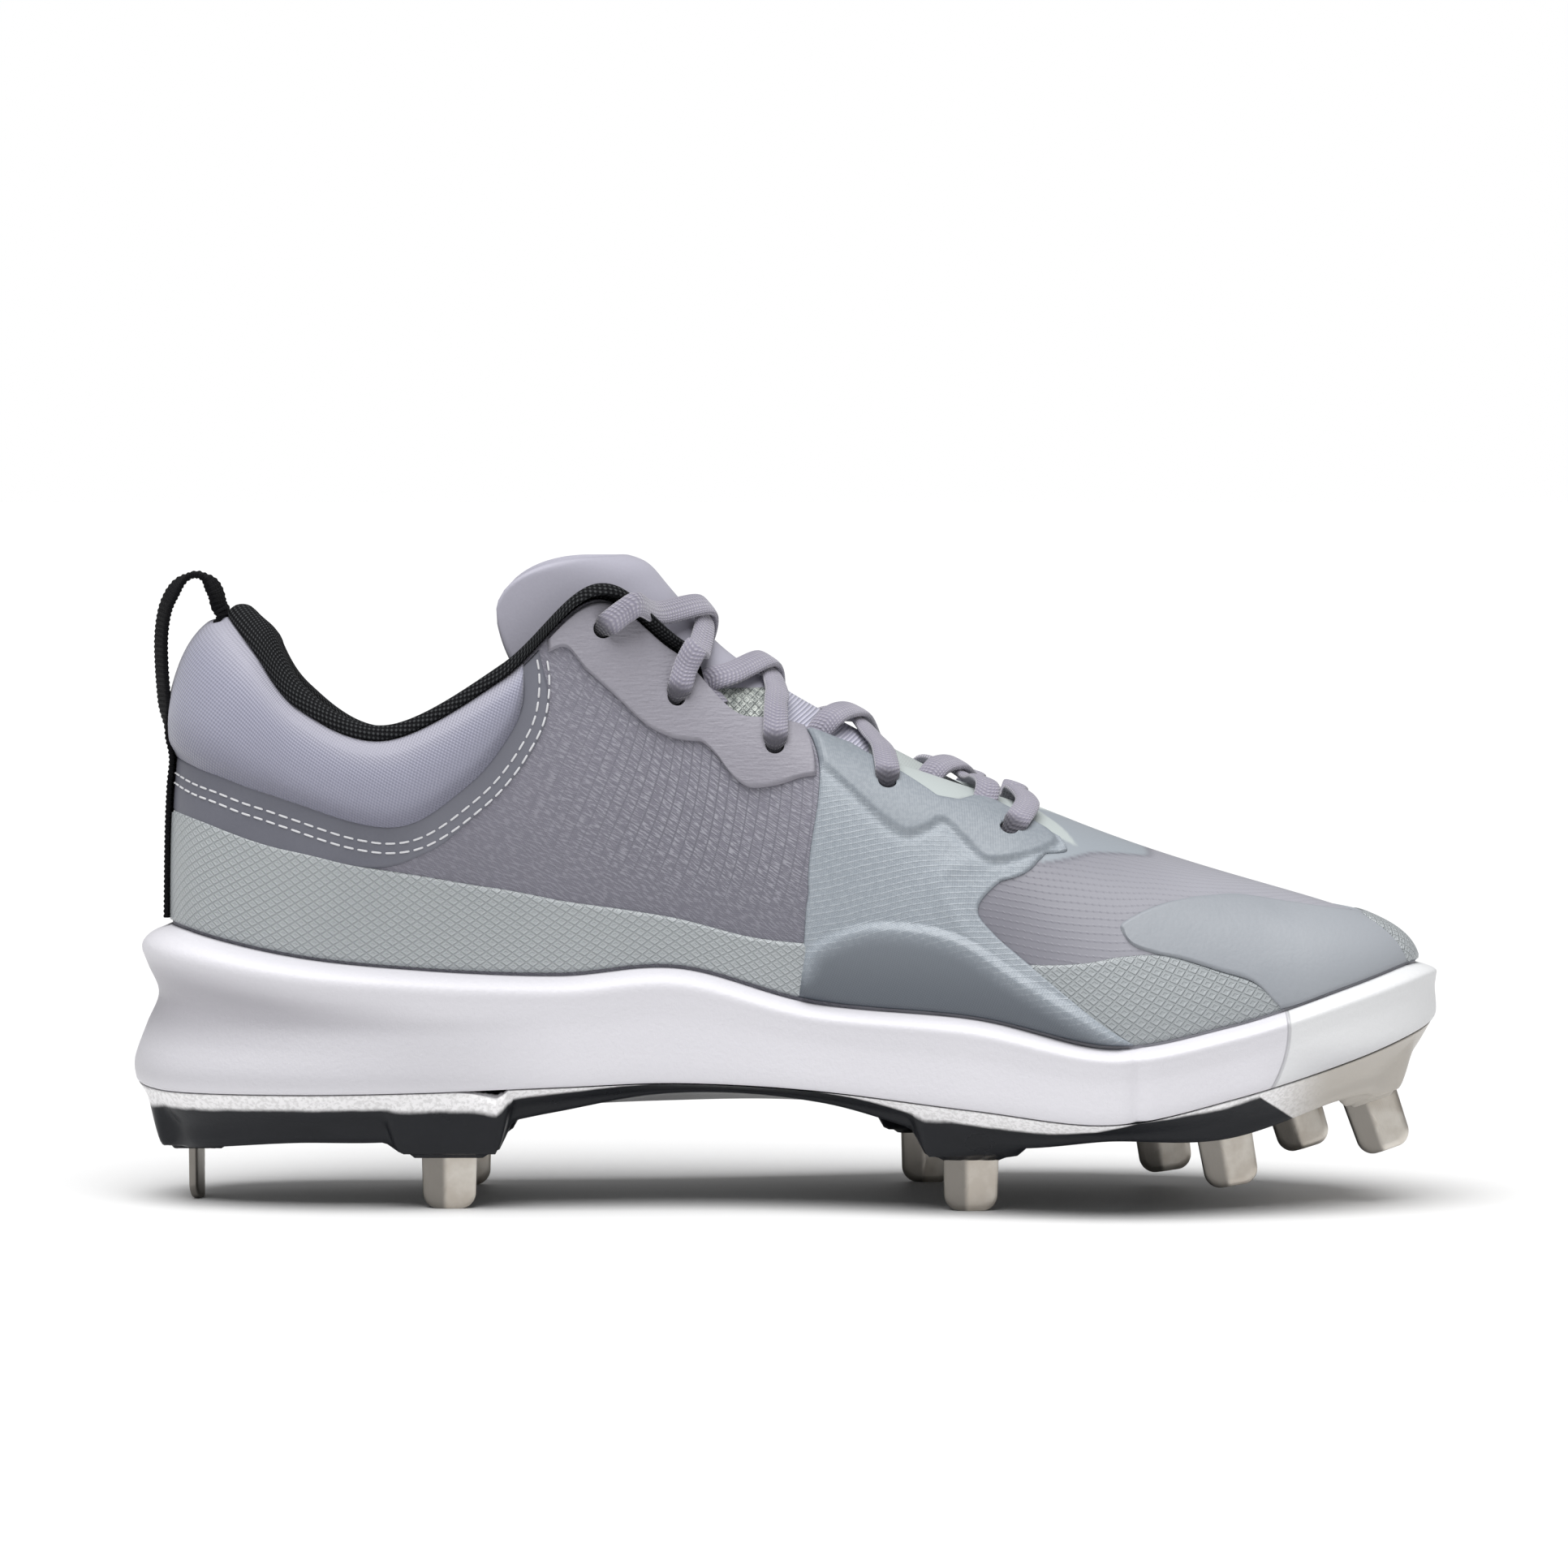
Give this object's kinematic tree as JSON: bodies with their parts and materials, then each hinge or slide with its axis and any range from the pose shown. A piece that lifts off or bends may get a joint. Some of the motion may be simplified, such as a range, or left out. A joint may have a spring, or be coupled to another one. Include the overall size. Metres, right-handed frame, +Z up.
{
  "type": "baseball cleat",
  "caption": "Low-cut baseball cleat for the left foot: laced film-and-mesh upper, foam midsole, black moulded plate with slim metal blades and a heel pull loop.",
  "frame": {"origin": "centre of the bounding box at the floor the studs stand on", "axes": "+X from heel to toe, +Z up, -Y the medial side"},
  "size_m": [0.3, 0.1033, 0.1492],
  "materials": {
    "upper_mesh": "knitted mesh under a thin film",
    "lilac_film": "suede-like synthetic film",
    "grey_film": "satin synthetic film, textured",
    "tongue_fabric": "padded knit",
    "black_knit": "matte black knit and webbing",
    "foam": "matt white foam with a fine grain",
    "plate_plastic": "moulded black plastic, satin gloss",
    "blade_metal": "warm plated steel, satin",
    "insole_fabric": "dark woven top cloth",
    "lace_weave": "flat-oval woven lace"
  },
  "bodies": {
    "root": {"upper": "upper_mesh", "midsole": "foam", "outsole_plate": "plate_plastic", "insole": "insole_fabric", "tongue": "tongue_fabric", "collar_lining": "black_knit", "pull_loop": "black_knit", "toe_cap": "grey_film", "heel_foxing_medial": "grey_film", "heel_foxing_lateral": "grey_film", "eyestay_medial": "lilac_film", "eyestay_lateral": "lilac_film", "saddle_medial": "grey_film", "saddle_lateral": "grey_film", "lace_bar": "lace_weave", "lace_crossing_1": "lace_weave", "lace_crossing_2": "lace_weave", "lace_crossing_3": "lace_weave", "lace_crossing_4": "lace_weave", "blade_rear": "blade_metal", "blade_heel_medial": "blade_metal", "blade_heel_lateral": "blade_metal", "blade_ball_medial": "blade_metal", "blade_ball_lateral": "blade_metal", "blade_fore_medial": "blade_metal", "blade_fore_lateral": "blade_metal", "blade_toe_medial": "blade_metal", "blade_toe_lateral": "blade_metal"}
  },
  "joints": []
}
